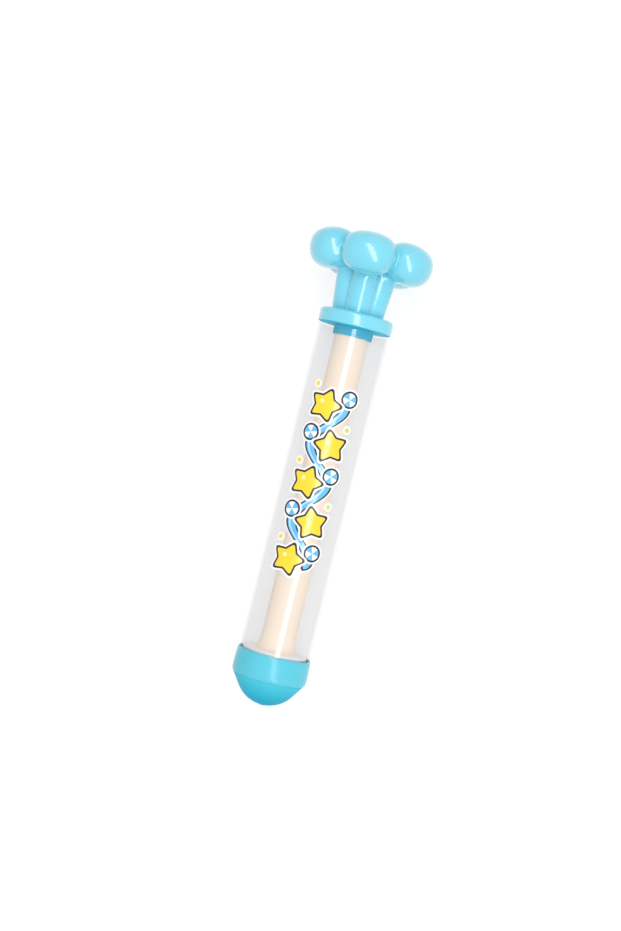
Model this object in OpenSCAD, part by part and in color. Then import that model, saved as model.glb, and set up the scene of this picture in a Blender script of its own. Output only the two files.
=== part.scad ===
// Hand-pumped water squirter: a clear barrel with a domed nose cap, and a plunger
// with a blossom-shaped handle. The plunger is drawn fully pushed in.
// Every piece is built around the barrel's axis, which is the local Z axis, with z = 0
// at the top edge of the nose cap. lay_down() then lays the squirter on its side:
// the barrel runs along Y, the handle points to +Y and one lobe of the handle faces +Z.

/* [Barrel] */
// Outside diameter of the clear tube
tube_d = 44.8; // [36:0.2:60]
// Wall of the clear tube
tube_wall = 1.5; // [1:0.1:2.4]
// Length from the nose cap's edge to the underside of the handle's flange
barrel_len = 208.8; // [150:0.2:260]
// Depth of the stop ring inside the tube's mouth
ring_len = 5.2; // [4:0.1:9]
// Thickness of the stop ring's rim on the tube's end
rim_t = 1.2; // [0.8:0.1:2.5]
// Wall of the stop ring's sleeve in the tube and of its collar around the boss
ring_wall = 1.4; // [1:0.1:3]

/* [Nose cap] */
// Height of the cap's band, from its edge to the step above the dome
band_len = 16; // [11:0.1:22]
// Wall of the band at its edge
lip_wall = 0.5; // [0.4:0.05:1.2]
// Wall of the band at its widest
band_wall = 1.3; // [1:0.05:2.4]
// Height of the rounded lower corner of the band
band_round = 4; // [2:0.1:6]
// Width of the step between the band and the dome
ledge = 0.9; // [0.4:0.05:1.4]
// Height of the dome
dome_len = 17.2; // [12:0.1:20]
// How much smaller the radius of the dome's round end is than the dome's base
dome_draw = 1.8; // [0.6:0.1:4]
// Wall of the dome
dome_wall = 2.4; // [1.6:0.1:3.4]
// Thickness of the shoulder that the tube is pushed against
shoulder_t = 1.5; // [1:0.1:2.5]
// How far the nozzle's tip stands out of the dome
tip_len = 0.5; // [0.4:0.1:3]
// Radius of the rounded nozzle tip
tip_r = 5; // [3.5:0.1:7]
// Diameter of the nozzle's bore
nozzle_d = 4; // [2:0.1:5]
// Thickness of the flat gasket under the tube's end
gasket_t = 1; // [0.6:0.1:2]

/* [Label] */
// Distance from the cap's edge to the label
label_low = 49; // [20:1:70]
// Distance from the flange to the label
label_high = 38.7; // [20:0.1:60]
// Width of the label, along the tube's skin
label_w = 34; // [20:1:44]
// Thickness of the label
label_t = 0.15; // [0.1:0.01:0.4]
// How far the label's middle is turned from the front, in degrees
label_turn = 1; // [-30:1:30]

/* [Rod] */
// Outside diameter of the rod
rod_d = 21.7; // [18:0.1:23]
// Wall of the rod
rod_wall = 2.2; // [1.4:0.1:3.5]
// Diameter of the rod's flared foot
foot_d = 25.3; // [24:0.1:29]
// Height of the flare
foot_len = 10; // [6:0.5:16]
// Thickness of the rod's closed lower end
rod_end = 8; // [5:0.5:12]
// Length of the plug in the rod's upper end
plug_len = 16; // [10:1:24]

/* [Piston] */
// How far the piston stands above the cap's edge when it is pushed in
piston_rise = 2; // [1:0.1:6]
// Thickness of each piston plate
plate_t = 2.5; // [1.6:0.1:4]
// Radial gap between the plates and the tube
plate_gap = 0.5; // [0.3:0.05:1]
// Thickness of the sealing ring
seal_d = 5; // [3.5:0.1:6]

/* [Handle stem] */
// Diameter of the flange
flange_d = 46.8; // [40:0.2:60]
// Thickness of the flange
flange_t = 9; // [6:0.1:14]
// Radius of the flange's rounded upper edge
flange_round = 2.2; // [1:0.1:4]
// Diameter of the boss under the flange
boss_d = 25; // [24.6:0.1:29]
// Length of the boss under the flange
boss_len = 5.7; // [3:0.1:10]
// Length of the stem, from the flange to the knob
stem_len = 25.6; // [18:0.1:40]
// Diameter of each rib
rib_d = 17.2; // [15:0.1:20]
// Distance of a rib's axis from the handle's axis at the flange
rib_low = 8.2; // [7:0.1:10]
// Distance of a rib's axis from the handle's axis at the knob
rib_high = 10.8; // [8:0.1:12]
// Wall of the stem around the rod, between the ribs
stem_wall = 2.4; // [1.6:0.1:4]
// Thickness of the web that closes the stem above the rod
web_t = 3.4; // [2.4:0.1:6]

/* [Handle knob] */
// Number of lobes and of ribs
lobe_count = 5; // [4:1:7]
// Distance of the lobes' middles from the handle's axis
lobe_ring = 26.8; // [24:0.1:34]
// Height of a lobe, along the handle
lobe_h = 26; // [20:0.1:32]
// How much wider than high a lobe is
lobe_extra_w = 7.5; // [2:0.1:10]
// How far the lobes hang below the middle of the knob
lobe_drop = 2.2; // [1:0.1:4]
// How far the knob's middle lies below the tops of the lobes
crown_drop = 3.2; // [2:0.1:6]
// Wall of the hollow knob
knob_wall = 2.5; // [1.8:0.1:3.4]
// Thickness of the knob's floor, which the screw clamps
knob_floor = 3.5; // [2.5:0.1:6]
// Depth to which the ribs are let into the knob
seat_depth = 2; // [1:0.1:4]
// Diameter of the opening in the knob's top
cap_hole_d = 24; // [18:0.2:30]

/* [Knob cap] */
// How far the cap's rim reaches past the opening
cap_rim = 2; // [1:0.1:4]
// How far the cap stands on top of the knob's middle
cap_rise = 1.6; // [1.2:0.1:3]
// Radius of the cap's rounded upper edge
cap_round = 0.8; // [0.4:0.05:1.1]
// Length of the cap's skirt in the opening
cap_skirt = 5; // [3:0.1:8]
// Wall of the cap's skirt
cap_wall = 2; // [1.2:0.1:3]

/* [Screws] */
// Diameter of the screws
screw_d = 3.9; // [3:0.1:4.4]
// Diameter of the screws' heads
head_d = 7.6; // [6:0.1:9]
// Height of the screws' heads
head_h = 2.6; // [1.8:0.1:4]
// How much narrower a head is at its top than at its seat
head_taper = 1.8; // [0.6:0.1:3]
// Width of the cross in a head
cross_w = 1.1; // [0.8:0.05:1.5]
// Length of the cross in a head
cross_len = 5; // [3:0.1:5.5]
// Depth of the cross in a head
cross_depth = 1.3; // [0.8:0.05:1.6]
// Depth to which a screw bites into its plug or rod end
bite_len = 6; // [4:0.5:9]

/* [Clearances] */
// Radial gap of pieces that are pushed together
fit_gap = 0.05; // [0.02:0.01:0.1]
// Radial gap around a screw that passes through a piece
pass_gap = 0.2; // [0.1:0.05:0.5]
// Radial gap of the sealing ring in the tube and on the piston
seal_gap = 0.05; // [0.02:0.01:0.1]
// Gap between the stop ring and what passes through it
ring_gap = 0.6; // [0.4:0.05:1.2]
// Gap between the flange and the stop ring when the plunger is pushed in
rest_gap = 0.2; // [0.1:0.05:0.4]
// Gap between the piston and the stop ring when the plunger is pulled out
end_gap = 0.5; // [0.3:0.05:1]

/* [Hidden] */

$fn = 96;

// Overlap that keeps a cut clear of the face it goes through
past = 1;

// Radii
tube_r = tube_d / 2;
bore_r = tube_r - tube_wall;
socket_r = tube_r + fit_gap;
lip_r = socket_r + lip_wall;
band_r = socket_r + band_wall;
rod_r = rod_d / 2;
foot_r = foot_d / 2;
rod_bore_r = rod_r - rod_wall;
boss_r = boss_d / 2;
ring_bore_r = max(boss_r, foot_r) + ring_gap;
plate_r = bore_r - plate_gap;
seal_ring_r = bore_r - seal_gap - seal_d / 2;
groove_r = seal_ring_r - seal_d / 2 - seal_gap;
screw_r = screw_d / 2;
pilot_r = screw_r + fit_gap;
pass_r = screw_r + pass_gap;
core_r = rod_r + fit_gap + stem_wall;
cap_r = cap_hole_d / 2 - fit_gap;

// Levels along the barrel's axis
step_z = -band_len;
shoulder_z = step_z + shoulder_t;
tube_low_z = shoulder_z + gasket_t;
flange_z = barrel_len;
rim_top_z = flange_z - rest_gap;
tube_top_z = rim_top_z - rim_t;
ring_low_z = tube_top_z - ring_len;
flange_top_z = flange_z + flange_t;
knob_low_z = flange_top_z + stem_len;
stem_top_z = knob_low_z + seat_depth;
knob_floor_z = stem_top_z + knob_floor;
rod_top_z = stem_top_z - web_t;
plate_top_z = piston_rise;
groove_top_z = plate_top_z - plate_t;
groove_len = seal_d + 2 * seal_gap;
groove_low_z = groove_top_z - groove_len;
plate_low_z = groove_low_z - plate_t;

// The dome is a cone on the ledge that runs into a sphere. dome_turn says how far below
// the sphere's middle they meet
dome_base_r = band_r - ledge;
dome_r = dome_base_r - dome_draw;
dome_z = step_z - dome_len + dome_r;
dome_reach = sqrt(pow(dome_base_r, 2) + pow(dome_z - step_z, 2));
dome_turn = atan2(dome_z - step_z, dome_base_r) + acos(dome_r / dome_reach);
tip_z = step_z - dome_len - tip_len;

// A lobe is a short bar with round ends, lying across the handle
lobe_r = lobe_h / 2;
lobe_end = lobe_extra_w / 2;
lobe_z = knob_low_z - lobe_drop + lobe_r;
knob_top_z = lobe_z + lobe_r;
hub_top_z = knob_top_z - crown_drop;
lobe_step = 360 / lobe_count;
hub_r = lobe_ring * cos(lobe_step / 2) + knob_wall;
rib_lean = atan((rib_high - rib_low) / stem_len);

// The squirter lies on its lowest lobes, which stand this angle from straight down
low_lobe_turn = lobe_count % 2 == 0 ? 0 : lobe_step / 2;
axis_h = lobe_ring * cos(low_lobe_turn) + lobe_end * sin(low_lobe_turn) + lobe_r;
middle_z = (knob_top_z + tip_z) / 2;

// How far the plunger can be pulled out
stroke = ring_low_z - end_gap - plate_top_z;
echo(stroke = stroke, axis_h = axis_h, middle_z = middle_z);

// Straight pieces in which the band's rounded corner is drawn
corner_steps = 8;

// Direction, seen along the axis, that ends up on top
front = -90;

module lay_down() {
    translate([0, -middle_z, axis_h]) rotate([-90, 0, 0]) children();
}

module ring(outer, inner, low, high) {
    translate([0, 0, low]) difference() {
        cylinder(r = outer, h = high - low);
        translate([0, 0, -past]) cylinder(r = inner, h = high - low + 2 * past);
    }
}

// Plain cylinder on the axis, used for bodies and for bores
module post(radius, low, high) {
    translate([0, 0, low]) cylinder(r = radius, h = high - low);
}

module around_handle() {
    for (i = [0 : lobe_count - 1]) rotate(front + i * lobe_step) children();
}

// Disc with a rounded upper edge
module rounded_disc(radius, thick, round) {
    rotate_extrude() {
        square([radius - round, thick]);
        square([radius, thick - round]);
        translate([radius - round, thick - round]) intersection() {
            circle(round);
            square(round);
        }
    }
}

// Screw with a cross in its head, pointing up from z = 0 under the head
module screw(length) {
    difference() {
        union() {
            cylinder(r = screw_r, h = length);
            translate([0, 0, -head_h]) cylinder(d1 = head_d - head_taper, d2 = head_d, h = head_h);
        }
        for (turn = [0, 90]) {
            rotate(turn) translate([-cross_len / 2, -cross_w / 2, -head_h - past]) {
                cube([cross_len, cross_w, past + cross_depth]);
            }
        }
    }
}

module barrel_tube() {
    color("#e9f1f5", 0.35) lay_down() ring(tube_r, bore_r, tube_low_z, tube_top_z);
}

// Half section of the nose cap's outside, down to the dome's middle
module cap_outline() {
    corner_z = step_z + band_round;
    corner = [
        for (i = [1 : corner_steps]) let (turn = 90 * i / corner_steps)
            [dome_base_r + ledge * cos(turn), corner_z - band_round * sin(turn)]
    ];
    polygon(concat([[0, 0], [lip_r, 0], [band_r, corner_z]], corner, [[0, step_z]]));
}

// The dome up to a level, drawn in by a wall's thickness for the hollow
module dome(wall, high) {
    round_r = dome_r - wall;
    meet_r = round_r * cos(dome_turn);
    meet_z = -round_r * sin(dome_turn);
    rise = high - dome_z;
    translate([0, 0, dome_z]) rotate_extrude() {
        polygon([[0, meet_z], [meet_r, meet_z], [meet_r + (rise - meet_z) * tan(dome_turn), rise], [0, rise]]);
        intersection() {
            circle(round_r);
            translate([0, -round_r]) square([round_r, round_r + meet_z]);
        }
    }
}

module nose_cap() {
    color("#5fcde4") lay_down() difference() {
        union() {
            rotate_extrude() cap_outline();
            dome(0, step_z);
            translate([0, 0, tip_z + tip_r]) sphere(r = tip_r);
        }
        post(socket_r, shoulder_z, past);
        dome(dome_wall, shoulder_z + past);
        post(nozzle_d / 2, tip_z - past, dome_z - dome_r / 2);
    }
}

module nose_gasket() {
    color("#d9d6d0") lay_down() ring(tube_r, bore_r, shoulder_z, tube_low_z);
}

// A sleeve in the tube and a collar around the boss, joined by a rim on the tube's end
module stop_ring() {
    sleeve_r = bore_r - fit_gap;
    color("#e9f1f5", 0.35) lay_down() union() {
        ring(tube_r, ring_bore_r, tube_top_z, rim_top_z);
        ring(sleeve_r, sleeve_r - ring_wall, ring_low_z, rim_top_z);
        ring(ring_bore_r + ring_wall, ring_bore_r, ring_low_z, rim_top_z);
    }
}

module label_film() {
    span = label_w / tube_r * 180 / PI;
    color("#ffdc1e") lay_down() rotate(front + label_turn - span / 2) {
        translate([0, 0, label_low]) rotate_extrude(angle = span) {
            translate([tube_r + fit_gap, 0]) square([label_t, flange_z - label_high - label_low]);
        }
    }
}

module piston_seal() {
    color("#e9e6e1") lay_down() translate([0, 0, (groove_top_z + groove_low_z) / 2]) {
        rotate_extrude() translate([seal_ring_r, 0]) circle(d = seal_d);
    }
}

module plunger_rod() {
    color("#f8e6d6") lay_down() difference() {
        union() {
            post(rod_r, plate_top_z, rod_top_z);
            translate([0, 0, plate_top_z]) cylinder(r1 = foot_r, r2 = rod_r, h = foot_len);
        }
        post(rod_bore_r, plate_top_z + rod_end, rod_top_z + past);
        post(pilot_r, plate_top_z - past, plate_top_z + bite_len);
    }
}

module rod_plug() {
    color("#f4ede4") lay_down() difference() {
        post(rod_bore_r - fit_gap, rod_top_z - plug_len, rod_top_z);
        post(pilot_r, rod_top_z - bite_len, rod_top_z + past);
    }
}

module piston_back_plate() {
    color("#f6f1ee") lay_down() difference() {
        union() {
            post(plate_r, groove_top_z, plate_top_z);
            post(groove_r, groove_low_z, plate_top_z);
        }
        post(pass_r, groove_low_z - past, plate_top_z + past);
    }
}

module piston_front_plate() {
    color("#f6f1ee") lay_down() ring(plate_r, pass_r, plate_low_z, groove_low_z);
}

module piston_screw() {
    color("#b9bcc0") lay_down() translate([0, 0, plate_low_z]) {
        screw(plate_top_z - plate_low_z + bite_len - fit_gap);
    }
}

// The ribs lean outward to the knob. grow thickens them for the seat in the knob
module ribs(grow, high) {
    intersection() {
        around_handle() translate([rib_low, 0, flange_top_z]) rotate([0, rib_lean, 0]) {
            translate([0, 0, -rib_d]) cylinder(r = rib_d / 2 + grow, h = stem_len + 2 * rib_d);
        }
        post(flange_d, flange_top_z - flange_t / 2, high);
    }
}

module handle_stem() {
    color("#74d3ea") lay_down() difference() {
        union() {
            post(boss_r, flange_z - boss_len, flange_top_z);
            translate([0, 0, flange_z]) rounded_disc(flange_d / 2, flange_t, flange_round);
            ribs(0, stem_top_z);
            post(core_r, flange_z, stem_top_z);
        }
        post(rod_r + fit_gap, flange_z - boss_len - past, rod_top_z);
        post(pass_r, rod_top_z - past, stem_top_z + past);
    }
}

// Bar with round ends along Z
module round_bar(radius, end) {
    rotate_extrude() {
        translate([0, -end]) square([radius, 2 * end]);
        translate([0, end]) intersection() {
            circle(radius);
            square(radius);
        }
        translate([0, -end]) intersection() {
            circle(radius);
            translate([0, -radius]) square(radius);
        }
    }
}

// The lobes and the middle of the knob, drawn in by a wall's thickness for the hollow
module crown(wall) {
    around_handle() translate([lobe_ring, 0, lobe_z]) rotate([90, 0, 0]) round_bar(lobe_r - wall, lobe_end);
    post(hub_r - wall, knob_low_z + wall, hub_top_z - wall);
}

module handle_knob() {
    seat_r = rib_high + rib_d / 2 + knob_wall;
    color("#7cd8ee") lay_down() difference() {
        crown(0);
        difference() {
            crown(knob_wall);
            post(seat_r, knob_low_z, knob_floor_z);
        }
        ribs(fit_gap, stem_top_z);
        post(core_r + fit_gap, knob_low_z - past, stem_top_z);
        post(pass_r, knob_low_z, knob_floor_z + past);
        post(cap_hole_d / 2, hub_top_z - knob_wall - past, hub_top_z + past);
    }
}

module knob_cap() {
    color("#7cd8ee") lay_down() union() {
        translate([0, 0, hub_top_z]) rounded_disc(cap_r + cap_rim, cap_rise, cap_round);
        ring(cap_r, cap_r - cap_wall, hub_top_z - cap_skirt, hub_top_z + cap_rise - cap_round);
    }
}

module handle_screw() {
    grip = knob_floor_z - rod_top_z;
    color("#b9bcc0") lay_down() translate([0, 0, knob_floor_z]) rotate([180, 0, 0]) {
        screw(grip + bite_len - fit_gap);
    }
}

barrel_tube();
nose_cap();
nose_gasket();
stop_ring();
label_film();
piston_seal();
plunger_rod();
rod_plug();
piston_back_plate();
piston_front_plate();
piston_screw();
handle_stem();
handle_knob();
knob_cap();
handle_screw();
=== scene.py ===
from math import acos, asin, atan, atan2, cos, degrees, pi, radians, sin, sqrt, tan

import bmesh
import bpy
from mathutils import Matrix, Vector


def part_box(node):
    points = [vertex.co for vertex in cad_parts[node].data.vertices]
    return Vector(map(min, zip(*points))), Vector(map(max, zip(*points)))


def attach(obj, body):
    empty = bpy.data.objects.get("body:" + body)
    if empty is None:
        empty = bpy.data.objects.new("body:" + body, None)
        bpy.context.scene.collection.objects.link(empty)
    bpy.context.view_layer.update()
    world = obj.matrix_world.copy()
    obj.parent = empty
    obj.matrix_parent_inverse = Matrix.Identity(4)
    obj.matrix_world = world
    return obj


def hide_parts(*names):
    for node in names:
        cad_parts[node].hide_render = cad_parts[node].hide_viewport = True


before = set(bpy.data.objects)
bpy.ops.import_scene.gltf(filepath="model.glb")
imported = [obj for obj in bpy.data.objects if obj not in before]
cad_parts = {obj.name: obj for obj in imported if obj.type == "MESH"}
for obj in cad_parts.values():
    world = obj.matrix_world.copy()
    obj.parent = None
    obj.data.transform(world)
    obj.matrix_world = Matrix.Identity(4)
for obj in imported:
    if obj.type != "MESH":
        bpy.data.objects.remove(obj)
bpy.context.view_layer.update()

scene = bpy.context.scene
scene.view_settings.view_transform = "Standard"
scene.cycles.transparent_max_bounces = 32  # the clear walls lie one behind the other

# Pieces are modelled in millimetres around the barrel: z runs from the nose to the handle,
# z = 0 is the nose cap's edge and -y is the side that faces the camera.
mm = 0.001
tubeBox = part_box("barrel_tube")
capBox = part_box("nose_cap")
axisHeight = (tubeBox[0].z + tubeBox[1].z) / 2
capEdge = capBox[1].y
barrelFrame = Matrix.Translation((0, capEdge, axisHeight)) @ Matrix.Rotation(radians(-90), 4, "X")
toFrame = barrelFrame @ Matrix.Scale(mm, 4)


def nodeSpan(node):  # radius and both ends of a round node, along the barrel
    low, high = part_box(node)
    return (high.x - low.x) / 2 / mm, (low.y - capEdge) / mm, (high.y - capEdge) / mm


tubeRadius, tubeLow, tubeHigh = nodeSpan("barrel_tube")
capRadius, tipLow, capHigh = nodeSpan("nose_cap")
rimRadius, ringLow, ringHigh = nodeSpan("stop_ring")
footRadius, rodLow, rodHigh = nodeSpan("plunger_rod")
plateRadius, grooveLow, plateHigh = nodeSpan("piston_back_plate")
flangeRadius, bossLow = nodeSpan("handle_stem")[:2]
knobLow, knobHigh = nodeSpan("handle_knob")[1:]
knobCapRadius, knobCapLow, knobCapHigh = nodeSpan("knob_cap")
labelLow, labelHigh = nodeSpan("label_film")[1:]
print("frame read: barrel radius", round(tubeRadius, 2), "mm, tip at", round(tipLow, 2), "mm")

camera = {
    "distance": 1050,  # above the barrel's axis
    "aside": -6.1,
    "along": 139,  # above this level of the barrel
    "aim": 119.4,  # level in the middle of the picture
    "turn": 13.8,  # lean of the squirter in the picture
    "orbit": 5.5,  # degrees that the view is carried around the barrel
    "focalPixels": 1680,
    "pictureHeight": 931,
    "sensor": 24,
}
cameraData = bpy.data.cameras.new("camera")
cameraData.sensor_fit = "VERTICAL"
cameraData.sensor_height = camera["sensor"]
cameraData.lens = camera["sensor"] * camera["focalPixels"] / camera["pictureHeight"]
cameraObject = bpy.data.objects.new("camera", cameraData)
orbit = Matrix.Translation((0, 0, axisHeight)) @ Matrix.Rotation(radians(camera["orbit"]), 4, "Y")
overBarrel = Matrix.Translation(
    (camera["aside"] * mm, capEdge + camera["along"] * mm, camera["distance"] * mm)
)
dip = Matrix.Rotation(atan((camera["aim"] - camera["along"]) / camera["distance"]), 4, "X")
cameraObject.matrix_world = orbit @ overBarrel @ dip @ Matrix.Rotation(radians(camera["turn"]), 4, "Z")
scene.collection.objects.link(cameraObject)
scene.camera = cameraObject
print("camera placed")


# Shared modelling steps

meshing = {
    "steps": 128,  # sides of a turned piece
    "fineSteps": 160,  # the same for tube, cap and flange
    "weld": 0.0005,  # points closer than this become one
    "onRing": 0.02,  # how near a point lies to the round edge that it belongs to
    "rounding": 0.5,  # bevel profile of a circle
    "smoothing": 0.5,  # how far a point moves towards its neighbours in one round
}


def spunRing(points, closed=True, steps=meshing["steps"]):
    bm = bmesh.new()
    corners = [bm.verts.new((r, 0, z)) for r, z in points]
    sides = [bm.edges.new(pair) for pair in zip(corners, corners[1:])]
    if closed:
        sides.append(bm.edges.new((corners[-1], corners[0])))
    bmesh.ops.spin(
        bm, geom=corners + sides, cent=(0, 0, 0), axis=(0, 0, 1),
        angle=2 * pi, steps=steps, use_merge=True,
    )
    bmesh.ops.remove_doubles(bm, verts=bm.verts, dist=meshing["weld"])
    bmesh.ops.recalc_face_normals(bm, faces=bm.faces)
    return bm


def roundRings(bm, rings, width, segments=3):  # bevels the round edges at these radii and levels
    def onRing(vert, ring):
        near = meshing["onRing"]
        return abs(vert.co.xy.length - ring[0]) < near and abs(vert.co.z - ring[1]) < near

    edges = [
        edge for edge in bm.edges
        if any(all(onRing(vert, ring) for vert in edge.verts) for ring in rings)
    ]
    bmesh.ops.bevel(
        bm, geom=edges, offset=width, affect="EDGES",
        segments=segments, profile=meshing["rounding"], material=-1,
    )
    return bm


def arc(middle, radius, start, end, steps):  # points of an arc in a half section, angles in degrees
    turns = [radians(start + (end - start) * i / steps) for i in range(steps + 1)]
    return [(middle[0] + radius * cos(t), middle[1] + radius * sin(t)) for t in turns]


def blankObject(bm):
    mesh = bpy.data.meshes.new("blank")
    bm.to_mesh(mesh)
    bm.free()
    blank = bpy.data.objects.new("blank", mesh)
    scene.collection.objects.link(blank)
    return blank


def throughModifier(bm, kind, **settings):  # one modifier, applied
    blank = blankObject(bm)
    step = blank.modifiers.new("step", kind)
    for key, value in settings.items():
        setattr(step, key, value)
    shaped = blank.evaluated_get(bpy.context.evaluated_depsgraph_get())
    out = bmesh.new()
    out.from_mesh(shaped.to_mesh())
    shaped.to_mesh_clear()
    bpy.data.objects.remove(blank)
    return out


def combined(bm, other, operation):
    tool = blankObject(other)
    out = throughModifier(bm, "BOOLEAN", operation=operation, solver="MANIFOLD", object=tool)
    bpy.data.objects.remove(tool)
    return out


def finishPiece(bm, name, body, nodes, materials, sharp=32):  # edges over sharp degrees stay sharp
    bmesh.ops.transform(bm, matrix=toFrame, verts=bm.verts)
    mesh = bpy.data.meshes.new(name)
    bm.to_mesh(mesh)
    bm.free()
    mesh.shade_smooth()
    mesh.set_sharp_from_angle(angle=radians(sharp))
    for material in materials:
        mesh.materials.append(material)
    piece = bpy.data.objects.new(name, mesh)
    scene.collection.objects.link(piece)
    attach(piece, body)
    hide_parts(*nodes)
    evenNormals = piece.modifiers.new("evenNormals", "WEIGHTED_NORMAL")  # keeps flat faces even
    evenNormals.keep_sharp = True
    print("made", name, len(mesh.polygons), "faces")
    return piece


# Finishes

skinNoise = {
    "low": 0.3,  # most of the noise lies between these two values
    "high": 0.7,
    "clouds": 45,  # scale of the slow change of colour
    "grainDetail": 3,
    "relief": 0.0001,  # height of the grain in metres
    "streaks": 220,  # scale of the streaks in clear plastic
    "streakStretch": (1, 0.03, 1),  # draws them out along the barrel
}


def newFinish(name):
    material = bpy.data.materials.new(name)
    material.use_nodes = True
    tree = material.node_tree
    tree.nodes.clear()
    return material, tree


def addNode(tree, kind, values=None, **settings):
    node = tree.nodes.new(kind)
    for key, value in settings.items():
        setattr(node, key, value)
    for socket, value in (values or {}).items():
        node.inputs[socket].default_value = value
    return node


def tone(red, green, blue):  # a screen colour as the linear one that a shader takes
    def linear(value):
        part = value / 255
        return part / 12.92 if part <= 0.04045 else ((part + 0.055) / 1.055) ** 2.4

    return linear(red), linear(green), linear(blue), 1


def addNoise(tree, stretch, scale, detail=2):  # noise on Object coordinates, drawn out along an axis
    place = addNode(tree, "ShaderNodeTexCoord")
    mapping = addNode(tree, "ShaderNodeMapping", {"Scale": stretch})
    noise = addNode(tree, "ShaderNodeTexNoise", {"Scale": scale, "Detail": detail})
    tree.links.new(place.outputs["Object"], mapping.inputs["Vector"])
    tree.links.new(mapping.outputs["Vector"], noise.inputs["Vector"])
    return noise.outputs["Fac"]


def addRange(tree, source, low, high):
    limits = {"From Min": skinNoise["low"], "From Max": skinNoise["high"], "To Min": low, "To Max": high}
    spread = addNode(tree, "ShaderNodeMapRange", limits)
    tree.links.new(source, spread.inputs["Value"])
    return spread.outputs["Result"]


def addTones(tree, source, first, second):
    ramp = addNode(tree, "ShaderNodeValToRGB")
    ramp.color_ramp.elements[0].position = skinNoise["low"]
    ramp.color_ramp.elements[0].color = first
    ramp.color_ramp.elements[1].position = skinNoise["high"]
    ramp.color_ramp.elements[1].color = second
    tree.links.new(source, ramp.inputs["Fac"])
    return ramp.outputs["Color"]


def moulded(name, first, second, rough, settings, stretch=(1, 1, 1), grain=900, bump=0.08):
    material, tree = newFinish(name)
    shader = addNode(tree, "ShaderNodeBsdfPrincipled", settings)
    clouds = addNoise(tree, stretch, skinNoise["clouds"])
    tree.links.new(addTones(tree, clouds, first, second), shader.inputs["Base Color"])
    skin = addNoise(tree, stretch, grain, skinNoise["grainDetail"])
    tree.links.new(addRange(tree, skin, *rough), shader.inputs["Roughness"])
    relief = addNode(tree, "ShaderNodeBump", {"Strength": bump, "Distance": skinNoise["relief"]})
    tree.links.new(skin, relief.inputs["Height"])
    tree.links.new(relief.outputs["Normal"], shader.inputs["Normal"])
    output = addNode(tree, "ShaderNodeOutputMaterial")
    tree.links.new(shader.outputs["BSDF"], output.inputs["Surface"])
    return material


def shaded(material, deep, share):  # paints shade: mixes a deeper colour in, as far as share says
    tree = material.node_tree
    shader = next(node for node in tree.nodes if node.type == "BSDF_PRINCIPLED")
    plain = shader.inputs["Base Color"].links[0].from_socket
    blend = addNode(tree, "ShaderNodeMix", data_type="RGBA")
    first, second = [socket for socket in blend.inputs if socket.type == "RGBA"]
    result = next(socket for socket in blend.outputs if socket.type == "RGBA")
    second.default_value = deep
    tree.links.new(share, blend.inputs["Factor"])
    tree.links.new(plain, first)
    tree.links.new(result, shader.inputs["Base Color"])


# Painted shade in creases: the base colour deepens where neighbouring surfaces close it in
crease = {
    "reach": 0.006,  # how far away a neighbouring surface counts, in metres
    "open": 0.9,  # share of open surroundings above which nothing deepens
    "closed": 0.2,  # and below which the colour is deepest
}


def creaseShade(material):  # share of painted shade: grows from 0 to 1 where other surfaces close a place in
    tree = material.node_tree
    light = addNode(tree, "ShaderNodeAmbientOcclusion", {"Distance": crease["reach"]})
    limits = {"From Min": crease["open"], "From Max": crease["closed"]}
    closed = addNode(tree, "ShaderNodeMapRange", limits)
    tree.links.new(light.outputs["AO"], closed.inputs["Value"])
    return closed.outputs["Result"]


def alongBarrel(material, start, end):  # grows from 0 to 1 between two places on Y
    tree = material.node_tree
    place = addNode(tree, "ShaderNodeTexCoord")
    split = addNode(tree, "ShaderNodeSeparateXYZ")
    share = addNode(tree, "ShaderNodeMapRange", {"From Min": start, "From Max": end})
    tree.links.new(place.outputs["Object"], split.inputs["Vector"])
    tree.links.new(split.outputs["Y"], share.inputs["Value"])
    return share.outputs["Result"]


bluePlastic = moulded(
    "bluePlastic", tone(115, 211, 233), tone(122, 216, 238), (0.24, 0.3),
    {"Coat Weight": 1, "Coat Roughness": 0.12, "Coat IOR": 1.55, "IOR": 1.4}, bump=0.006,
)
# painted shade: the blue deepens in creases, under the lobes and in narrow gaps
shaded(bluePlastic, tone(0, 180, 206), creaseShade(bluePlastic))
# painted shade: a darker, duller blue for the boss and the flange's underside, which lie in shade
shadedBossPlastic = moulded(
    "shadedBossPlastic", tone(56, 184, 214), tone(62, 190, 220), (0.5, 0.6),
    {"Specular IOR Level": 0.1, "IOR": 1.45}, bump=0.05,
)
bandPlastic = moulded(
    "bandPlastic", tone(91, 200, 221), tone(98, 204, 226), (0.2, 0.26), {"IOR": 1.38}, bump=0.01,
)
domeShadedPlastic = moulded(
    "domeShadedPlastic", tone(78, 202, 222), tone(84, 206, 226), (0.4, 0.48),
    {"Specular IOR Level": 0.06, "IOR": 1.4}, bump=0.01,
)
domeShadeSpan = 0.5  # share of the cap's length, from its tip, over which painted shade deepens the dome
domeShadeStart = capBox[0].y + domeShadeSpan * (capBox[1].y - capBox[0].y)
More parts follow.
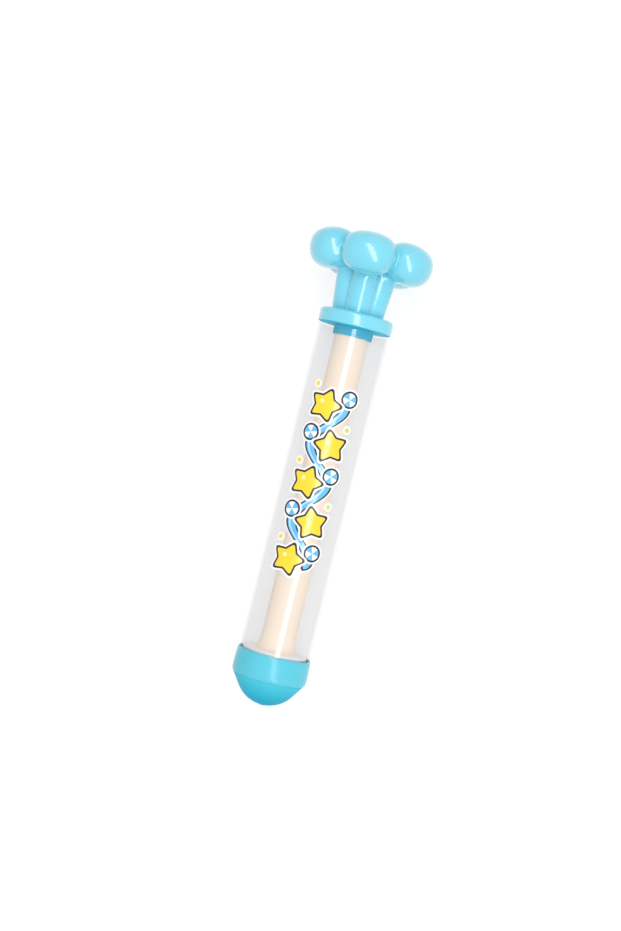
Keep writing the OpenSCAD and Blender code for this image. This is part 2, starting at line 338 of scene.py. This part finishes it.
# painted shade: the dome grows deeper towards its tip, where it turns away from the light
shaded(domeShadedPlastic, tone(0, 164, 202), alongBarrel(domeShadedPlastic, domeShadeStart, capBox[0].y))
creamPlastic = moulded(
    "creamPlastic", tone(253, 233, 213), tone(255, 238, 220), (0.5, 0.6), {"IOR": 1.5},
    (1, 0.06, 1), 600, 0.03,
)
whitePlastic = moulded(
    "whitePlastic", tone(240, 241, 242), tone(246, 246, 247), (0.28, 0.36), {"IOR": 1.5},
)
sealRubber = moulded(
    "sealRubber", tone(226, 223, 217), tone(234, 231, 226), (0.5, 0.62), {"IOR": 1.52}, bump=0.2,
)
gasketRubber = moulded(
    "gasketRubber", tone(208, 204, 197), tone(218, 214, 208), (0.5, 0.62), {"IOR": 1.52}, bump=0.2,
)
screwSteel = moulded(
    "screwSteel", tone(176, 178, 181), tone(192, 194, 197), (0.24, 0.36), {"Metallic": 1},
    (1, 0.2, 1), 1500,
)

edgePower = 4  # how steeply clear plastic mirrors more towards its edges


def clearSkin(name, tint, gloss, rough):  # see-through plastic: gloss is least, most and added at edges
    material, tree = newFinish(name)
    least, most, atEdges = gloss
    facing = addNode(tree, "ShaderNodeLayerWeight", {"Blend": 0.5})
    edge = addNode(tree, "ShaderNodeMath", {1: edgePower}, operation="POWER")
    tree.links.new(facing.outputs["Facing"], edge.inputs[0])
    streaks = addNoise(tree, skinNoise["streakStretch"], skinNoise["streaks"])
    drawn = addRange(tree, streaks, least, most)
    share = addNode(tree, "ShaderNodeMath", operation="ADD", use_clamp=True)
    strength = addNode(tree, "ShaderNodeMath", {1: atEdges}, operation="MULTIPLY")
    tree.links.new(edge.outputs[0], strength.inputs[0])
    tree.links.new(strength.outputs[0], share.inputs[0])
    tree.links.new(drawn, share.inputs[1])
    through = addNode(tree, "ShaderNodeBsdfTransparent", {"Color": tint})
    mirror = addNode(tree, "ShaderNodeBsdfAnisotropic", {"Color": (1, 1, 1, 1), "Roughness": rough})
    mix = addNode(tree, "ShaderNodeMixShader")
    tree.links.new(share.outputs[0], mix.inputs["Fac"])
    tree.links.new(through.outputs["BSDF"], mix.inputs[1])
    tree.links.new(mirror.outputs["BSDF"], mix.inputs[2])
    output = addNode(tree, "ShaderNodeOutputMaterial")
    tree.links.new(mix.outputs["Shader"], output.inputs["Surface"])
    return material


clearPlastic = clearSkin("clearPlastic", (0.943, 0.943, 0.946, 1), (0.02, 0.032, 0.4), 0.09)
clearRing = clearSkin("clearRing", (0.992, 0.992, 0.993, 1), (0, 0.002, 0.03), 0.1)
filmPlastic = clearSkin("filmPlastic", (0.99, 0.99, 0.99, 1), (0.02, 0.03, 0.3), 0.08)


def printInk(name, first, second, coat=1):
    gloss = {"Coat Weight": coat, "Coat Roughness": 0.09}
    return moulded(name, first, second, (0.3, 0.38), gloss, grain=2500, bump=0.03)


inkWhite = printInk("inkWhite", tone(248, 248, 249), tone(252, 252, 252))
inkNavy = printInk("inkNavy", tone(4, 8, 24), tone(8, 14, 34), 0.2)
inkYellow = printInk("inkYellow", tone(255, 214, 0), tone(255, 224, 10))
inkBlue = printInk("inkBlue", tone(88, 182, 238), tone(106, 196, 244))
inkGreen = printInk("inkGreen", tone(196, 218, 84), tone(210, 228, 104))
inkPale = printInk("inkPale", tone(255, 242, 150), tone(255, 246, 170))
inkSky = printInk("inkSky", tone(176, 226, 250), tone(188, 232, 252))
print("finishes ready")

# Clear tube
tube = {"wall": 1.5, "endRound": 0.3}
tubeBore = tubeRadius - tube["wall"]
tubeCorners = [(tubeRadius, tubeLow), (tubeRadius, tubeHigh), (tubeBore, tubeHigh), (tubeBore, tubeLow)]
bm = spunRing(tubeCorners, steps=meshing["fineSteps"])
roundRings(bm, tubeCorners[1:3], tube["endRound"])
finishPiece(bm, "clearTube", "barrel", ["barrel_tube"], [clearPlastic])

# Nose cap: a band that swells towards a step, and a dome with a rounded tip
nose = {
    "socketGap": 0.05,
    "lipWall": 0.5,
    "bandLength": 16,
    "bandRound": 4,
    "ledge": 0.9,
    "groove": 0.6,  # depth of the fine groove under the step
    "grooveWidth": 0.6,
    "domeLength": 17.2,
    "domeDraw": 1.8,  # how much smaller the dome's round end is than its base
    "domeWall": 2.4,
    "shoulder": 1.5,
    "tipRadius": 5,
    "tipBlend": 0.8,  # softness of the neck between dome and tip
    "nozzleRadius": 2,
    "lipRound": 0.2,
    "steps": 28,
    "cornerStride": 3,  # the band's corner takes every third step
    "sharp": 24,
}
socketRadius = tubeRadius + nose["socketGap"]
lipRadius = socketRadius + nose["lipWall"]
stepLevel = capHigh - nose["bandLength"]
cornerLevel = stepLevel + nose["bandRound"]
ledgeRadius = capRadius - nose["ledge"]
domeRadius = ledgeRadius - nose["domeDraw"]
domeMiddle = stepLevel - nose["domeLength"] + domeRadius
domeRise = domeMiddle - stepLevel
domeTurn = atan2(domeRise, ledgeRadius) + acos(domeRadius / sqrt(ledgeRadius ** 2 + domeRise ** 2))
tipMiddle = tipLow + sqrt(nose["tipRadius"] ** 2 - nose["nozzleRadius"] ** 2)


def domeSection(wall):  # arc of the dome's round end, from the nozzle to where the cone begins
    radius = domeRadius - wall
    start = degrees(asin(nose["nozzleRadius"] / radius)) - 90
    return arc((0, domeMiddle), radius, start, -degrees(domeTurn), nose["steps"])


def withTip(r, level):  # the lower of dome and tip, run softly into each other
    tipHeight = nose["tipRadius"] ** 2 - r ** 2
    tip = tipMiddle - sqrt(tipHeight) if tipHeight > 0 else tipMiddle + r - nose["tipRadius"]
    share = max(0, 1 - abs(level - tip) / nose["tipBlend"])
    return min(level, tip) - share ** 2 * nose["tipBlend"] / 4


swell = [radians(90 * i / nose["steps"]) for i in range(nose["steps"] + 1)]
bandSide = [
    (lipRadius + (capRadius - lipRadius) * sin(t), cornerLevel * (1 - cos(t)))
    for t in swell
]
bandCorner = [
    (ledgeRadius + nose["ledge"] * cos(t), cornerLevel - nose["bandRound"] * sin(t))
    for t in swell[nose["cornerStride"]::nose["cornerStride"]]
]
groove = [
    (ledgeRadius, stepLevel), (ledgeRadius - nose["groove"], stepLevel - nose["grooveWidth"] / 2),
    (ledgeRadius - nose["grooveWidth"] * tan(domeTurn), stepLevel - nose["grooveWidth"]),
]
domeSide = [(r, withTip(r, level)) for r, level in reversed(domeSection(0))]
innerSide = domeSection(nose["domeWall"])
shoulderLevel = stepLevel + nose["shoulder"]
innerTop = innerSide[-1][0] + (shoulderLevel - innerSide[-1][1]) * tan(domeTurn)
innerSide.append((innerTop, shoulderLevel))
socket = [(socketRadius, shoulderLevel), (socketRadius, capHigh)]
capSection = bandSide + bandCorner + groove + domeSide + innerSide + socket
bm = spunRing(capSection, steps=meshing["fineSteps"])
roundRings(bm, [(lipRadius, capHigh)], nose["lipRound"])
for face in bm.faces:
    face.material_index = int(face.calc_center_median().z < stepLevel)
capFinishes = [bandPlastic, domeShadedPlastic]
finishPiece(bm, "noseCap", "barrel", ["nose_cap"], capFinishes, nose["sharp"])

# Stop ring in the tube's mouth
stopRing = {"rim": 1.2, "wall": 1.4, "sleeveGap": 0.05, "boreRadius": 13.25, "edgeRound": 0.25}
rimLow = ringHigh - stopRing["rim"]
ringBore = stopRing["boreRadius"]
collarRadius = ringBore + stopRing["wall"]
sleeveRadius = tubeBore - stopRing["sleeveGap"]
sleeveBore = sleeveRadius - stopRing["wall"]
ringCorners = [
    (rimRadius, rimLow), (rimRadius, ringHigh), (ringBore, ringHigh), (ringBore, ringLow),
    (collarRadius, ringLow), (collarRadius, rimLow), (sleeveBore, rimLow),
    (sleeveBore, ringLow), (sleeveRadius, ringLow), (sleeveRadius, rimLow),
]
bm = spunRing(ringCorners)
roundRings(bm, ringCorners[:5] + ringCorners[7:9], stopRing["edgeRound"])
finishPiece(bm, "stopRing", "barrel", ["stop_ring"], [clearRing])

# Rod with its flared foot
rod = {
    "radius": 10.85,
    "wall": 2.2,
    "flare": 10,  # length of the flared foot
    "flareSteps": 14,
    "closedEnd": 8,  # solid length at the foot
    "pilot": 2,
    "pilotDepth": 6,
    "endRound": 0.3,
}
flare = [i / rod["flareSteps"] for i in range(rod["flareSteps"] + 1)]
foot = [
    (rod["radius"] + (footRadius - rod["radius"]) * (1 - t) ** 2, rodLow + rod["flare"] * t)
    for t in flare
]
rodBore = rod["radius"] - rod["wall"]
closedLevel = rodLow + rod["closedEnd"]
pilotLevel = rodLow + rod["pilotDepth"]
rodPilot = [(0, pilotLevel), (rod["pilot"], pilotLevel), (rod["pilot"], rodLow)]
rodInside = [(rod["radius"], rodHigh), (rodBore, rodHigh), (rodBore, closedLevel), (0, closedLevel)]
bm = spunRing(rodPilot + foot + rodInside, closed=False)
roundRings(bm, rodInside[:1], rod["endRound"])
finishPiece(bm, "plungerRod", "plunger", ["plunger_rod"], [creamPlastic])

# Piston: two plates that hold the sealing ring
piston = {
    "plate": 2.5,
    "screwHole": 2.15,
    "sealThick": 5,
    "sealGap": 0.05,
    "sealSteps": 28,
    "edgeRound": 0.4,
    "rimRound": 1,
    "rimSegments": 5,
}
screwHole = piston["screwHole"]
grooveHigh = plateHigh - piston["plate"]
sealRadius = tubeBore - piston["sealGap"] - piston["sealThick"] / 2
grooveRadius = sealRadius - piston["sealThick"] / 2 - piston["sealGap"]
backCorners = [
    (screwHole, grooveLow), (grooveRadius, grooveLow), (grooveRadius, grooveHigh),
    (plateRadius, grooveHigh), (plateRadius, plateHigh), (screwHole, plateHigh),
]
bm = spunRing(backCorners)
roundRings(bm, backCorners[3:4], piston["edgeRound"])
roundRings(bm, backCorners[4:5], piston["rimRound"], piston["rimSegments"])
finishPiece(bm, "pistonBackPlate", "plunger", ["piston_back_plate"], [whitePlastic])
frontLow = grooveLow - piston["plate"]
frontCorners = [
    (screwHole, frontLow), (plateRadius, frontLow), (plateRadius, grooveLow), (screwHole, grooveLow),
]
bm = spunRing(frontCorners)
roundRings(bm, frontCorners[1:3], piston["edgeRound"])
finishPiece(bm, "pistonFrontPlate", "plunger", ["piston_front_plate"], [whitePlastic])
sealMiddle = (sealRadius, (grooveLow + grooveHigh) / 2)
sealSection = arc(sealMiddle, piston["sealThick"] / 2, 0, 360, piston["sealSteps"])[:-1]
finishPiece(spunRing(sealSection), "pistonSeal", "seal", ["piston_seal"], [sealRubber])

# Handle: five petals, each a lobe that grows out of its own rib, on a flange with a boss
handle = {
    "petals": 5,
    "front": -90,  # direction of the petal that faces the camera
    "lobeRing": 25.2,
    "lobeHalf": (14.4, 16.75, 12.9),  # outward, across and along the handle
    "lobeSquareness": (0.1, 0.25, 0.3),  # 0 is an ellipse, 1 nearly a box
    "lobeDroop": 10,
    "lobeSides": 96,
    "lobeRings": 64,
    "ribRadius": 8.6,
    "ribSides": 96,
    "ribLow": 8.2,  # distance of a rib from the axis at the flange
    "ribHigh": 10.8,  # the same under the lobes
    "ribRise": 2,  # height of that place above the knob's underside
    "ribSeat": 4,  # depth of a rib's foot in the flange
    "voxel": 0.6,
    "meltLow": 238,  # between these levels rib and lobe run into each other
    "meltHigh": 249,
    "meltRounds": 16,
    "creaseSpan": 13,  # degrees on both sides of the crease between two lobes that are smoothed
    "creaseRounds": 9,
    "polishRounds": 5,
    "polishGrow": 0.2,  # what polishing takes off a lobe
    "flange": 9,
    "flangeRound": 2.2,
    "flangeSegments": 8,
    "flangeUnder": 1.4,
    "underSegments": 6,
    "bossShadeShare": 3,  # the boss's darker finish, painted shade, covers one part in three of the flange's lower round
    "bossRound": 0.5,
    "bossLength": 5.7,
    "bossRadius": 12.5,
    "boreGap": 0.05,
    "hubRadius": 23,
    "hubRound": 5,
    "hubSegments": 10,
    "hubDrop": 3.2,
    "hubThick": 18,
    "capHole": 12,
    "capHoleDepth": 5.4,
    "seamLevel": 240.8,
    "overshoot": 5,  # how far a cut begins outside the handle
    "cutWidth": 200,  # the block that parts knob and stem
    "cutHigh": 300,
}
flangeLow = bossLow + handle["bossLength"]
flangeHigh = flangeLow + handle["flange"]
lobeLevel = (knobLow + knobHigh) / 2
hubHigh = knobHigh - handle["hubDrop"]


def smoothed(bm, verts, rounds):
    for _ in range(rounds):
        bmesh.ops.smooth_vert(
            bm, verts=verts, factor=meshing["smoothing"],
            use_axis_x=True, use_axis_y=True, use_axis_z=True,
        )


def petalBlank():
    bm = bmesh.new()
    lobe = bmesh.ops.create_uvsphere(
        bm, u_segments=handle["lobeSides"], v_segments=handle["lobeRings"], radius=1,
    )["verts"]
    for vert in lobe:
        squares = [part ** 2 for part in vert.co]
        plain = sum((1 - k) * part for k, part in zip(handle["lobeSquareness"], squares))
        boxy = sum(k * part ** 2 for k, part in zip(handle["lobeSquareness"], squares))
        reach = 2 / (plain + sqrt(plain ** 2 + 4 * boxy))  # solves boxy * reach² + plain * reach = 1
        vert.co *= sqrt(reach)
    bmesh.ops.scale(bm, verts=lobe, vec=[half + handle["polishGrow"] for half in handle["lobeHalf"]])
    droop = Matrix.Rotation(radians(handle["lobeDroop"]), 3, "Y")
    bmesh.ops.rotate(bm, verts=lobe, cent=(0, 0, 0), matrix=droop)
    bmesh.ops.translate(bm, verts=lobe, vec=(handle["lobeRing"], 0, lobeLevel))
    ribFoot = Vector((handle["ribLow"], 0, flangeHigh))
    ribTop = Vector((handle["ribHigh"], 0, knobLow + handle["ribRise"]))
    ribWay = (ribTop - ribFoot).normalized()
    ribStart = ribFoot - ribWay * handle["ribSeat"]
    ribEnd = ribTop + ribWay * handle["ribRadius"]
    turn = Vector((0, 0, 1)).rotation_difference(ribWay).to_matrix().to_4x4()
    bmesh.ops.create_cone(
        bm, cap_ends=True, segments=handle["ribSides"],
        radius1=handle["ribRadius"], radius2=handle["ribRadius"],
        depth=(ribEnd - ribStart).length, matrix=Matrix.Translation((ribStart + ribEnd) / 2) @ turn,
    )
    bm = throughModifier(bm, "REMESH", mode="VOXEL", voxel_size=handle["voxel"])
    melting = [vert for vert in bm.verts if handle["meltLow"] < vert.co.z < handle["meltHigh"]]
    smoothed(bm, melting, handle["meltRounds"])
    return bm


def box(low, high):
    bm = bmesh.new()
    bmesh.ops.create_cube(bm, size=1)
    bmesh.ops.scale(bm, verts=bm.verts, vec=(handle["cutWidth"], handle["cutWidth"], high - low))
    bmesh.ops.translate(bm, verts=bm.verts, vec=(0, 0, (low + high) / 2))
    return bm


def fromCrease(place):  # angle between a point and the nearest crease, seen along the handle
    step = 360 / handle["petals"]
    return abs((degrees(atan2(place.y, place.x)) - handle["front"]) % step - step / 2)


petal = petalBlank()
hubLow = hubHigh - handle["hubThick"]
hubCorners = [(0, hubLow), (handle["hubRadius"], hubLow), (handle["hubRadius"], hubHigh), (0, hubHigh)]
blossom = spunRing(hubCorners, closed=False)
roundRings(blossom, hubCorners[2:3], handle["hubRound"], handle["hubSegments"])
for i in range(handle["petals"]):
    turned = petal.copy()
    turn = radians(handle["front"] + 360 * i / handle["petals"])
    bmesh.ops.rotate(turned, verts=turned.verts, cent=(0, 0, 0), matrix=Matrix.Rotation(turn, 3, "Z"))
    blossom = combined(blossom, turned, "UNION")
petal.free()
blossom = throughModifier(blossom, "REMESH", mode="VOXEL", voxel_size=handle["voxel"])
smoothed(blossom, blossom.verts, handle["polishRounds"])
creases = [
    vert for vert in blossom.verts
    if vert.co.z > handle["meltLow"] and fromCrease(vert.co) < handle["creaseSpan"]
]
smoothed(blossom, creases, handle["creaseRounds"])
overHub = hubHigh + handle["overshoot"]
holeLow = hubHigh - handle["capHoleDepth"]
capHole = spunRing(
    [(0, overHub), (handle["capHole"], overHub), (handle["capHole"], holeLow), (0, holeLow)],
    closed=False,
)
blossom = combined(blossom, capHole, "DIFFERENCE")
flangeCorners = [
    (0, bossLow), (handle["bossRadius"], bossLow), (handle["bossRadius"], flangeLow),
    (flangeRadius, flangeLow), (flangeRadius, flangeHigh), (0, flangeHigh),
]
flangeDisc = spunRing(flangeCorners, closed=False, steps=meshing["fineSteps"])
roundRings(flangeDisc, flangeCorners[4:5], handle["flangeRound"], handle["flangeSegments"])
roundRings(flangeDisc, flangeCorners[3:4], handle["flangeUnder"], handle["underSegments"])
roundRings(flangeDisc, flangeCorners[1:2], handle["bossRound"])
blossom = combined(blossom, flangeDisc, "UNION")
boreRadius = rod["radius"] + handle["boreGap"]
underBoss = bossLow - handle["overshoot"]
bore = spunRing(
    [(0, underBoss), (boreRadius, underBoss), (boreRadius, rodHigh), (0, rodHigh)], closed=False,
)
blossom = combined(blossom, bore, "DIFFERENCE")
stem = combined(blossom.copy(), box(handle["seamLevel"], handle["cutHigh"]), "DIFFERENCE")
knob = combined(blossom, box(handle["seamLevel"], handle["cutHigh"]), "INTERSECT")
# painted shade on the boss and the lower part of the flange's under round
bossShadeHigh = flangeLow + handle["flangeUnder"] / handle["bossShadeShare"]
for face in stem.faces:
    face.material_index = int(face.calc_center_median().z < bossShadeHigh)
finishPiece(stem, "handleStem", "plunger", ["handle_stem"], [bluePlastic, shadedBossPlastic])
finishPiece(knob, "handleKnob", "plunger", ["handle_knob"], [bluePlastic])

# Cap in the knob's top
knobCap = {
    "rim": 1.6,
    "rimRound": 0.7,
    "rimSegments": 5,
    "skirt": 11.95,
    "skirtWall": 2,
    "dish": 0.5,
    "dishRadius": 9,
}
capLevel = knobCapHigh - knobCap["rim"]
skirtRadius = knobCap["skirt"]
skirtBore = skirtRadius - knobCap["skirtWall"]
dishLevel = knobCapHigh - knobCap["dish"]
dishRadius = knobCap["dishRadius"]
capCorners = [
    (0, capLevel), (skirtBore, capLevel), (skirtBore, knobCapLow), (skirtRadius, knobCapLow),
    (skirtRadius, capLevel), (knobCapRadius, capLevel), (knobCapRadius, knobCapHigh),
    (dishRadius, knobCapHigh), (dishRadius - knobCap["dish"], dishLevel), (0, dishLevel),
]
bm = spunRing(capCorners, closed=False)
roundRings(bm, capCorners[6:7], knobCap["rimRound"], knobCap["rimSegments"])
finishPiece(bm, "knobCap", "plunger", ["knob_cap"], [bluePlastic])

# Label: clear film, printed with stars and play balls along a wavy ribbon
label = {
    "width": 34,
    "turn": 1,
    "lift": 0.06,  # film above the tube's skin
    "film": 0.06,
    "ink": 0.015,
    "corner": 4,
    "cornerSegments": 6,
    "strip": 0.8,  # width of the strips that bend around the tube
    "cutTolerance": 0.0001,
    "border": 1.1,  # white around a shape
    "outline": 1.2,  # dark line inside the white
    "ribbon": 5,
    "ribbonSwing": 8,
    "ribbonEnd": 8,
    "ribbonTaper": 6,
    "ribbonBlunt": 0.01,  # keeps the ribbon's ends from closing to a point
    "ribbonSteps": 120,
    "ribbonShine": 1.1,
    "lean": 14,
    "stars": 5,
    "starPoints": 5,
    "starRadius": 10,
    "starWaist": 0.58,
    "starRound": 1.6,
    "starSegments": 8,
    "starAside": 4.6,
    "shine": 1.3,
    "shineAside": 2.2,
    "ballRadius": 4.2,
    "ballAside": 9.6,
    "ballRise": 0.26,
    "ballPanels": 6,
    "ballSides": 48,
    "dotRadius": 1.5,
    "dotAside": 12.6,
    "dotRise": 0.5,
    "dotSides": 24,
    "underBall": 4,  # layers of ink below balls and dots
    "underStar": 7,  # layers of ink below a star
}
halfWidth = label["width"] / 2
pitch = (labelHigh - labelLow) / label["stars"]
labelInks = [filmPlastic, inkWhite, inkNavy, inkYellow, inkBlue, inkGreen, inkPale, inkSky]
white, navy, yellow, blue, green, pale, sky = range(1, len(labelInks))  # places in the list, 0 is the film


def flatShape(points, place, turn=0):
    bm = bmesh.new()
    corners = [bm.verts.new((x, y, 0)) for x, y in points]
    bm.faces.new(corners)
    bmesh.ops.rotate(bm, verts=corners, cent=(0, 0, 0), matrix=Matrix.Rotation(turn, 3, "Z"))
    bmesh.ops.translate(bm, verts=corners, vec=(*place, 0))
    return bm


def inked(bm, ink):
    for face in bm.faces:
        face.material_index = ink
    return bm


starStep = pi / label["starPoints"]  # angle between a star's tip and the next notch
starTip = label["starRadius"]
starNotch = starTip * label["starWaist"]
starSide = sqrt(starTip ** 2 + starNotch ** 2 - 2 * starTip * starNotch * cos(starStep))
starReach = starTip * starNotch * sin(starStep) / starSide  # distance of a star's sides from its middle


def starShape(place, turn, grow, ink):
    size = 1 + grow / starReach
    points = []
    for i in range(2 * label["starPoints"]):
        radius = size * (starNotch if i % 2 else starTip)
        points.append((radius * sin(starStep * i), radius * cos(starStep * i)))
    bm = flatShape(points, place, turn)
    bm.verts.ensure_lookup_table()
    bmesh.ops.bevel(
        bm, geom=bm.verts[:][::2], offset=label["starRound"] + grow, affect="VERTICES",
        segments=label["starSegments"], profile=meshing["rounding"], material=-1,
    )
    return inked(bm, ink)


def roundShape(place, radius, ink, sides=label["ballSides"]):
    points = [(radius * cos(2 * pi * i / sides), radius * sin(2 * pi * i / sides)) for i in range(sides)]
    return inked(flatShape(points, place), ink)


def ballPanels(place, radius, turn):
    bm = roundShape(place, radius, blue)
    bmesh.ops.rotate(bm, verts=bm.verts, cent=(*place, 0), matrix=Matrix.Rotation(turn, 3, "Z"))
    panels = bmesh.ops.poke(bm, faces=bm.faces[:])["faces"]
    for i, panel in enumerate(panels):
        panel.material_index = (blue, white)[i * label["ballPanels"] // len(panels) % 2]
    return bm


def wrapped(bm, low, high):  # gives a flat print its thickness and bends it around the tube
    cuts = int(label["width"] / label["strip"])
    for i in range(1, cuts):
        geom = bm.verts[:] + bm.edges[:] + bm.faces[:]
        cutPlace = (i * label["strip"] - halfWidth, 0, 0)
        bmesh.ops.bisect_plane(
            bm, geom=geom, plane_co=cutPlace, plane_no=(1, 0, 0), dist=label["cutTolerance"],
        )
    raised = bmesh.ops.extrude_face_region(bm, geom=bm.faces[:])["geom"]
    top = [item for item in raised if isinstance(item, bmesh.types.BMVert)]
    bmesh.ops.translate(bm, verts=top, vec=(0, 0, 1))
    bmesh.ops.recalc_face_normals(bm, faces=bm.faces)
    for vert in bm.verts:
        radius = tubeRadius + (high if vert.co.z > 0.5 else low)
        angle = radians(handle["front"] + label["turn"]) + vert.co.x / tubeRadius
        vert.co = (radius * cos(angle), radius * sin(angle), vert.co.y)
    return bm


def joined(parts):
    out = bmesh.new()
    for part in parts:
        mesh = bpy.data.meshes.new("part")
        part.to_mesh(mesh)
        part.free()
        out.from_mesh(mesh)
        bpy.data.meshes.remove(mesh)
    return out


filmFlat = flatShape(
    [(-halfWidth, labelLow), (halfWidth, labelLow), (halfWidth, labelHigh), (-halfWidth, labelHigh)],
    (0, 0),
)
bmesh.ops.bevel(
    filmFlat, geom=filmFlat.verts[:], offset=label["corner"], affect="VERTICES",
    segments=label["cornerSegments"], profile=meshing["rounding"], material=-1,
)
filmTop = label["lift"] + label["film"]
labelParts = [wrapped(filmFlat, label["lift"], filmTop)]


def stacked(shapes, below=0):  # layers of ink, each a little higher than the one before
    for i, shape in enumerate(shapes, below + 1):
        labelParts.append(wrapped(shape, filmTop, filmTop + label["ink"] * i))


def ribbonShape(grow, ink, aside=0):  # a wave that passes each star on its free side
    low = labelLow + label["ribbonEnd"] - grow
    high = labelHigh - label["ribbonEnd"] + grow
    right = []
    left = []
    for i in range(label["ribbonSteps"] + 1):
        level = low + (high - low) * i / label["ribbonSteps"]
        fromEnd = min(level - low, high - level) + label["ribbonBlunt"]
        taper = min(1, fromEnd / label["ribbonTaper"])
        half = (label["ribbon"] / 2 + grow) * sqrt(1 - (1 - taper) ** 2)
        middle = aside + label["ribbonSwing"] * cos(pi * ((level - labelLow) / pitch - 0.5))
        right.append((middle + half, level))
        left.insert(0, (middle - half, level))
    return inked(flatShape(right + left, (0, 0)), ink)


border = label["border"]
outline = label["outline"]
stacked([
    ribbonShape(border + outline, white),
    ribbonShape(outline, navy),
    ribbonShape(0, blue),
    ribbonShape((label["ribbonShine"] - label["ribbon"]) / 2, sky, -label["ribbonShine"]),
])
for i in range(label["stars"]):
    side = 1 if i % 2 else -1
    level = labelLow + pitch * (i + 0.5)
    starPlace = (side * label["starAside"], level)
    shinePlace = (starPlace[0] - label["shineAside"], starPlace[1] + label["shineAside"])
    ballPlace = (-side * label["ballAside"], level + label["ballRise"] * pitch)
    dotPlace = (side * label["dotAside"], level + label["dotRise"] * pitch)
    lean = side * radians(label["lean"])
    ball = label["ballRadius"]
    dotInk = green if i % 2 else yellow
    stacked([
        roundShape(ballPlace, ball + border + outline, white),
        roundShape(ballPlace, ball + outline, navy),
        ballPanels(ballPlace, ball, lean),
    ], label["underBall"])
    stacked([
        starShape(starPlace, lean, border + outline, white),
        starShape(starPlace, lean, outline, navy),
        starShape(starPlace, lean, 0, yellow),
        roundShape(shinePlace, label["shine"], pale, label["dotSides"]),
    ], label["underStar"])
    stacked([
        roundShape(dotPlace, label["dotRadius"] + outline, white, label["dotSides"]),
        roundShape(dotPlace, label["dotRadius"], dotInk, label["dotSides"]),
    ], label["underBall"])
finishPiece(joined(labelParts), "printedLabel", "barrel", ["label_film"], labelInks)
for name in ("clearTube", "stopRing", "printedLabel"):  # light falls through the clear barrel onto the rod
    bpy.data.objects[name].visible_shadow = False
    bpy.data.objects[name].visible_diffuse = False

# Plain pieces of the frame keep their shape and get a finish
plainFinishes = {
    "nose_gasket": gasketRubber,
    "rod_plug": creamPlastic,
    "piston_screw": screwSteel,
    "handle_screw": screwSteel,
}
for node, finish in plainFinishes.items():
    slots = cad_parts[node].data.materials
    slots.clear()
    slots.append(finish)
print("frame pieces finished")


# Floor under the lobes and the nose, light and background

studio = {
    "floorSize": 12,
    "floorTries": 4,  # rounds in which the floor finds its slope
    "floorGrey": 0.92,
    "floorGlow": 1.06,
    "shadowShare": 0.22,
    "fill": 0.58,
}


def lowestPoint(name, slope):
    corners = [vert.co for vert in bpy.data.objects[name].data.vertices]
    return min(corners, key=lambda corner: corner.z - slope * corner.y)


floorSlope = 0
for _ in range(studio["floorTries"]):
    knobFoot = lowestPoint("handleKnob", floorSlope)
    noseFoot = lowestPoint("noseCap", floorSlope)
    floorSlope = (noseFoot.z - knobFoot.z) / (noseFoot.y - knobFoot.y)
floorMesh = bmesh.new()
bmesh.ops.create_grid(floorMesh, x_segments=1, y_segments=1, size=studio["floorSize"] / 2)
floorLean = Matrix.Rotation(atan(floorSlope), 3, "X")
bmesh.ops.rotate(floorMesh, verts=floorMesh.verts, cent=(0, 0, 0), matrix=floorLean)
bmesh.ops.translate(floorMesh, verts=floorMesh.verts, vec=(0, 0, knobFoot.z - floorSlope * knobFoot.y))
floor = blankObject(floorMesh)
floor.name = "floor"


def seenShare(tree):  # 1 for what the camera sees, directly or mirrored
    path = addNode(tree, "ShaderNodeLightPath")
    total = path.outputs["Is Camera Ray"]
    for ray in ("Is Glossy Ray", "Is Transmission Ray"):
        step = addNode(tree, "ShaderNodeMath", operation="MAXIMUM")
        tree.links.new(total, step.inputs[0])
        tree.links.new(path.outputs[ray], step.inputs[1])
        total = step.outputs[0]
    return total


floorFinish, tree = newFinish("paleFloor")
share = addNode(tree, "ShaderNodeMath", {1: 1 - studio["shadowShare"]}, operation="MULTIPLY")
tree.links.new(seenShare(tree), share.inputs[0])
floorColour = (studio["floorGrey"], studio["floorGrey"], studio["floorGrey"], 1)
paint = addNode(tree, "ShaderNodeBsdfDiffuse", {"Color": floorColour})
glow = addNode(tree, "ShaderNodeEmission", {"Color": (1, 1, 1, 1), "Strength": studio["floorGlow"]})
mix = addNode(tree, "ShaderNodeMixShader")
tree.links.new(share.outputs[0], mix.inputs["Fac"])
tree.links.new(paint.outputs["BSDF"], mix.inputs[1])
tree.links.new(glow.outputs["Emission"], mix.inputs[2])
output = addNode(tree, "ShaderNodeOutputMaterial")
tree.links.new(mix.outputs["Shader"], output.inputs["Surface"])
floor.data.materials.append(floorFinish)

world = bpy.data.worlds.new("studio")
world.use_nodes = True
scene.world = world
tree = world.node_tree
tree.nodes.clear()
strength = addNode(tree, "ShaderNodeMapRange", {"To Min": studio["fill"], "To Max": 1})
tree.links.new(seenShare(tree), strength.inputs["Value"])
backdrop = addNode(tree, "ShaderNodeBackground", {"Color": (1, 1, 1, 1)})
tree.links.new(strength.outputs["Result"], backdrop.inputs["Strength"])
output = addNode(tree, "ShaderNodeOutputWorld")
tree.links.new(backdrop.outputs["Background"], output.inputs["Surface"])

stripLamp = {"height": 1.5, "aside": 0.145, "lean": 26, "width": 0.36, "length": 2.5, "watts": 18}
lampData = bpy.data.lights.new("stripLamp", "AREA")
lampData.shape = "RECTANGLE"
lampData.size = stripLamp["width"]
lampData.size_y = stripLamp["length"]
lampData.energy = stripLamp["watts"]
lamp = bpy.data.objects.new("stripLamp", lampData)
overHandle = Matrix.Translation((stripLamp["aside"], 0, stripLamp["height"]))
lamp.matrix_world = orbit @ overHandle @ Matrix.Rotation(radians(stripLamp["lean"]), 4, "Z")
scene.collection.objects.link(lamp)
print("studio ready, floor slope", round(floorSlope, 4))
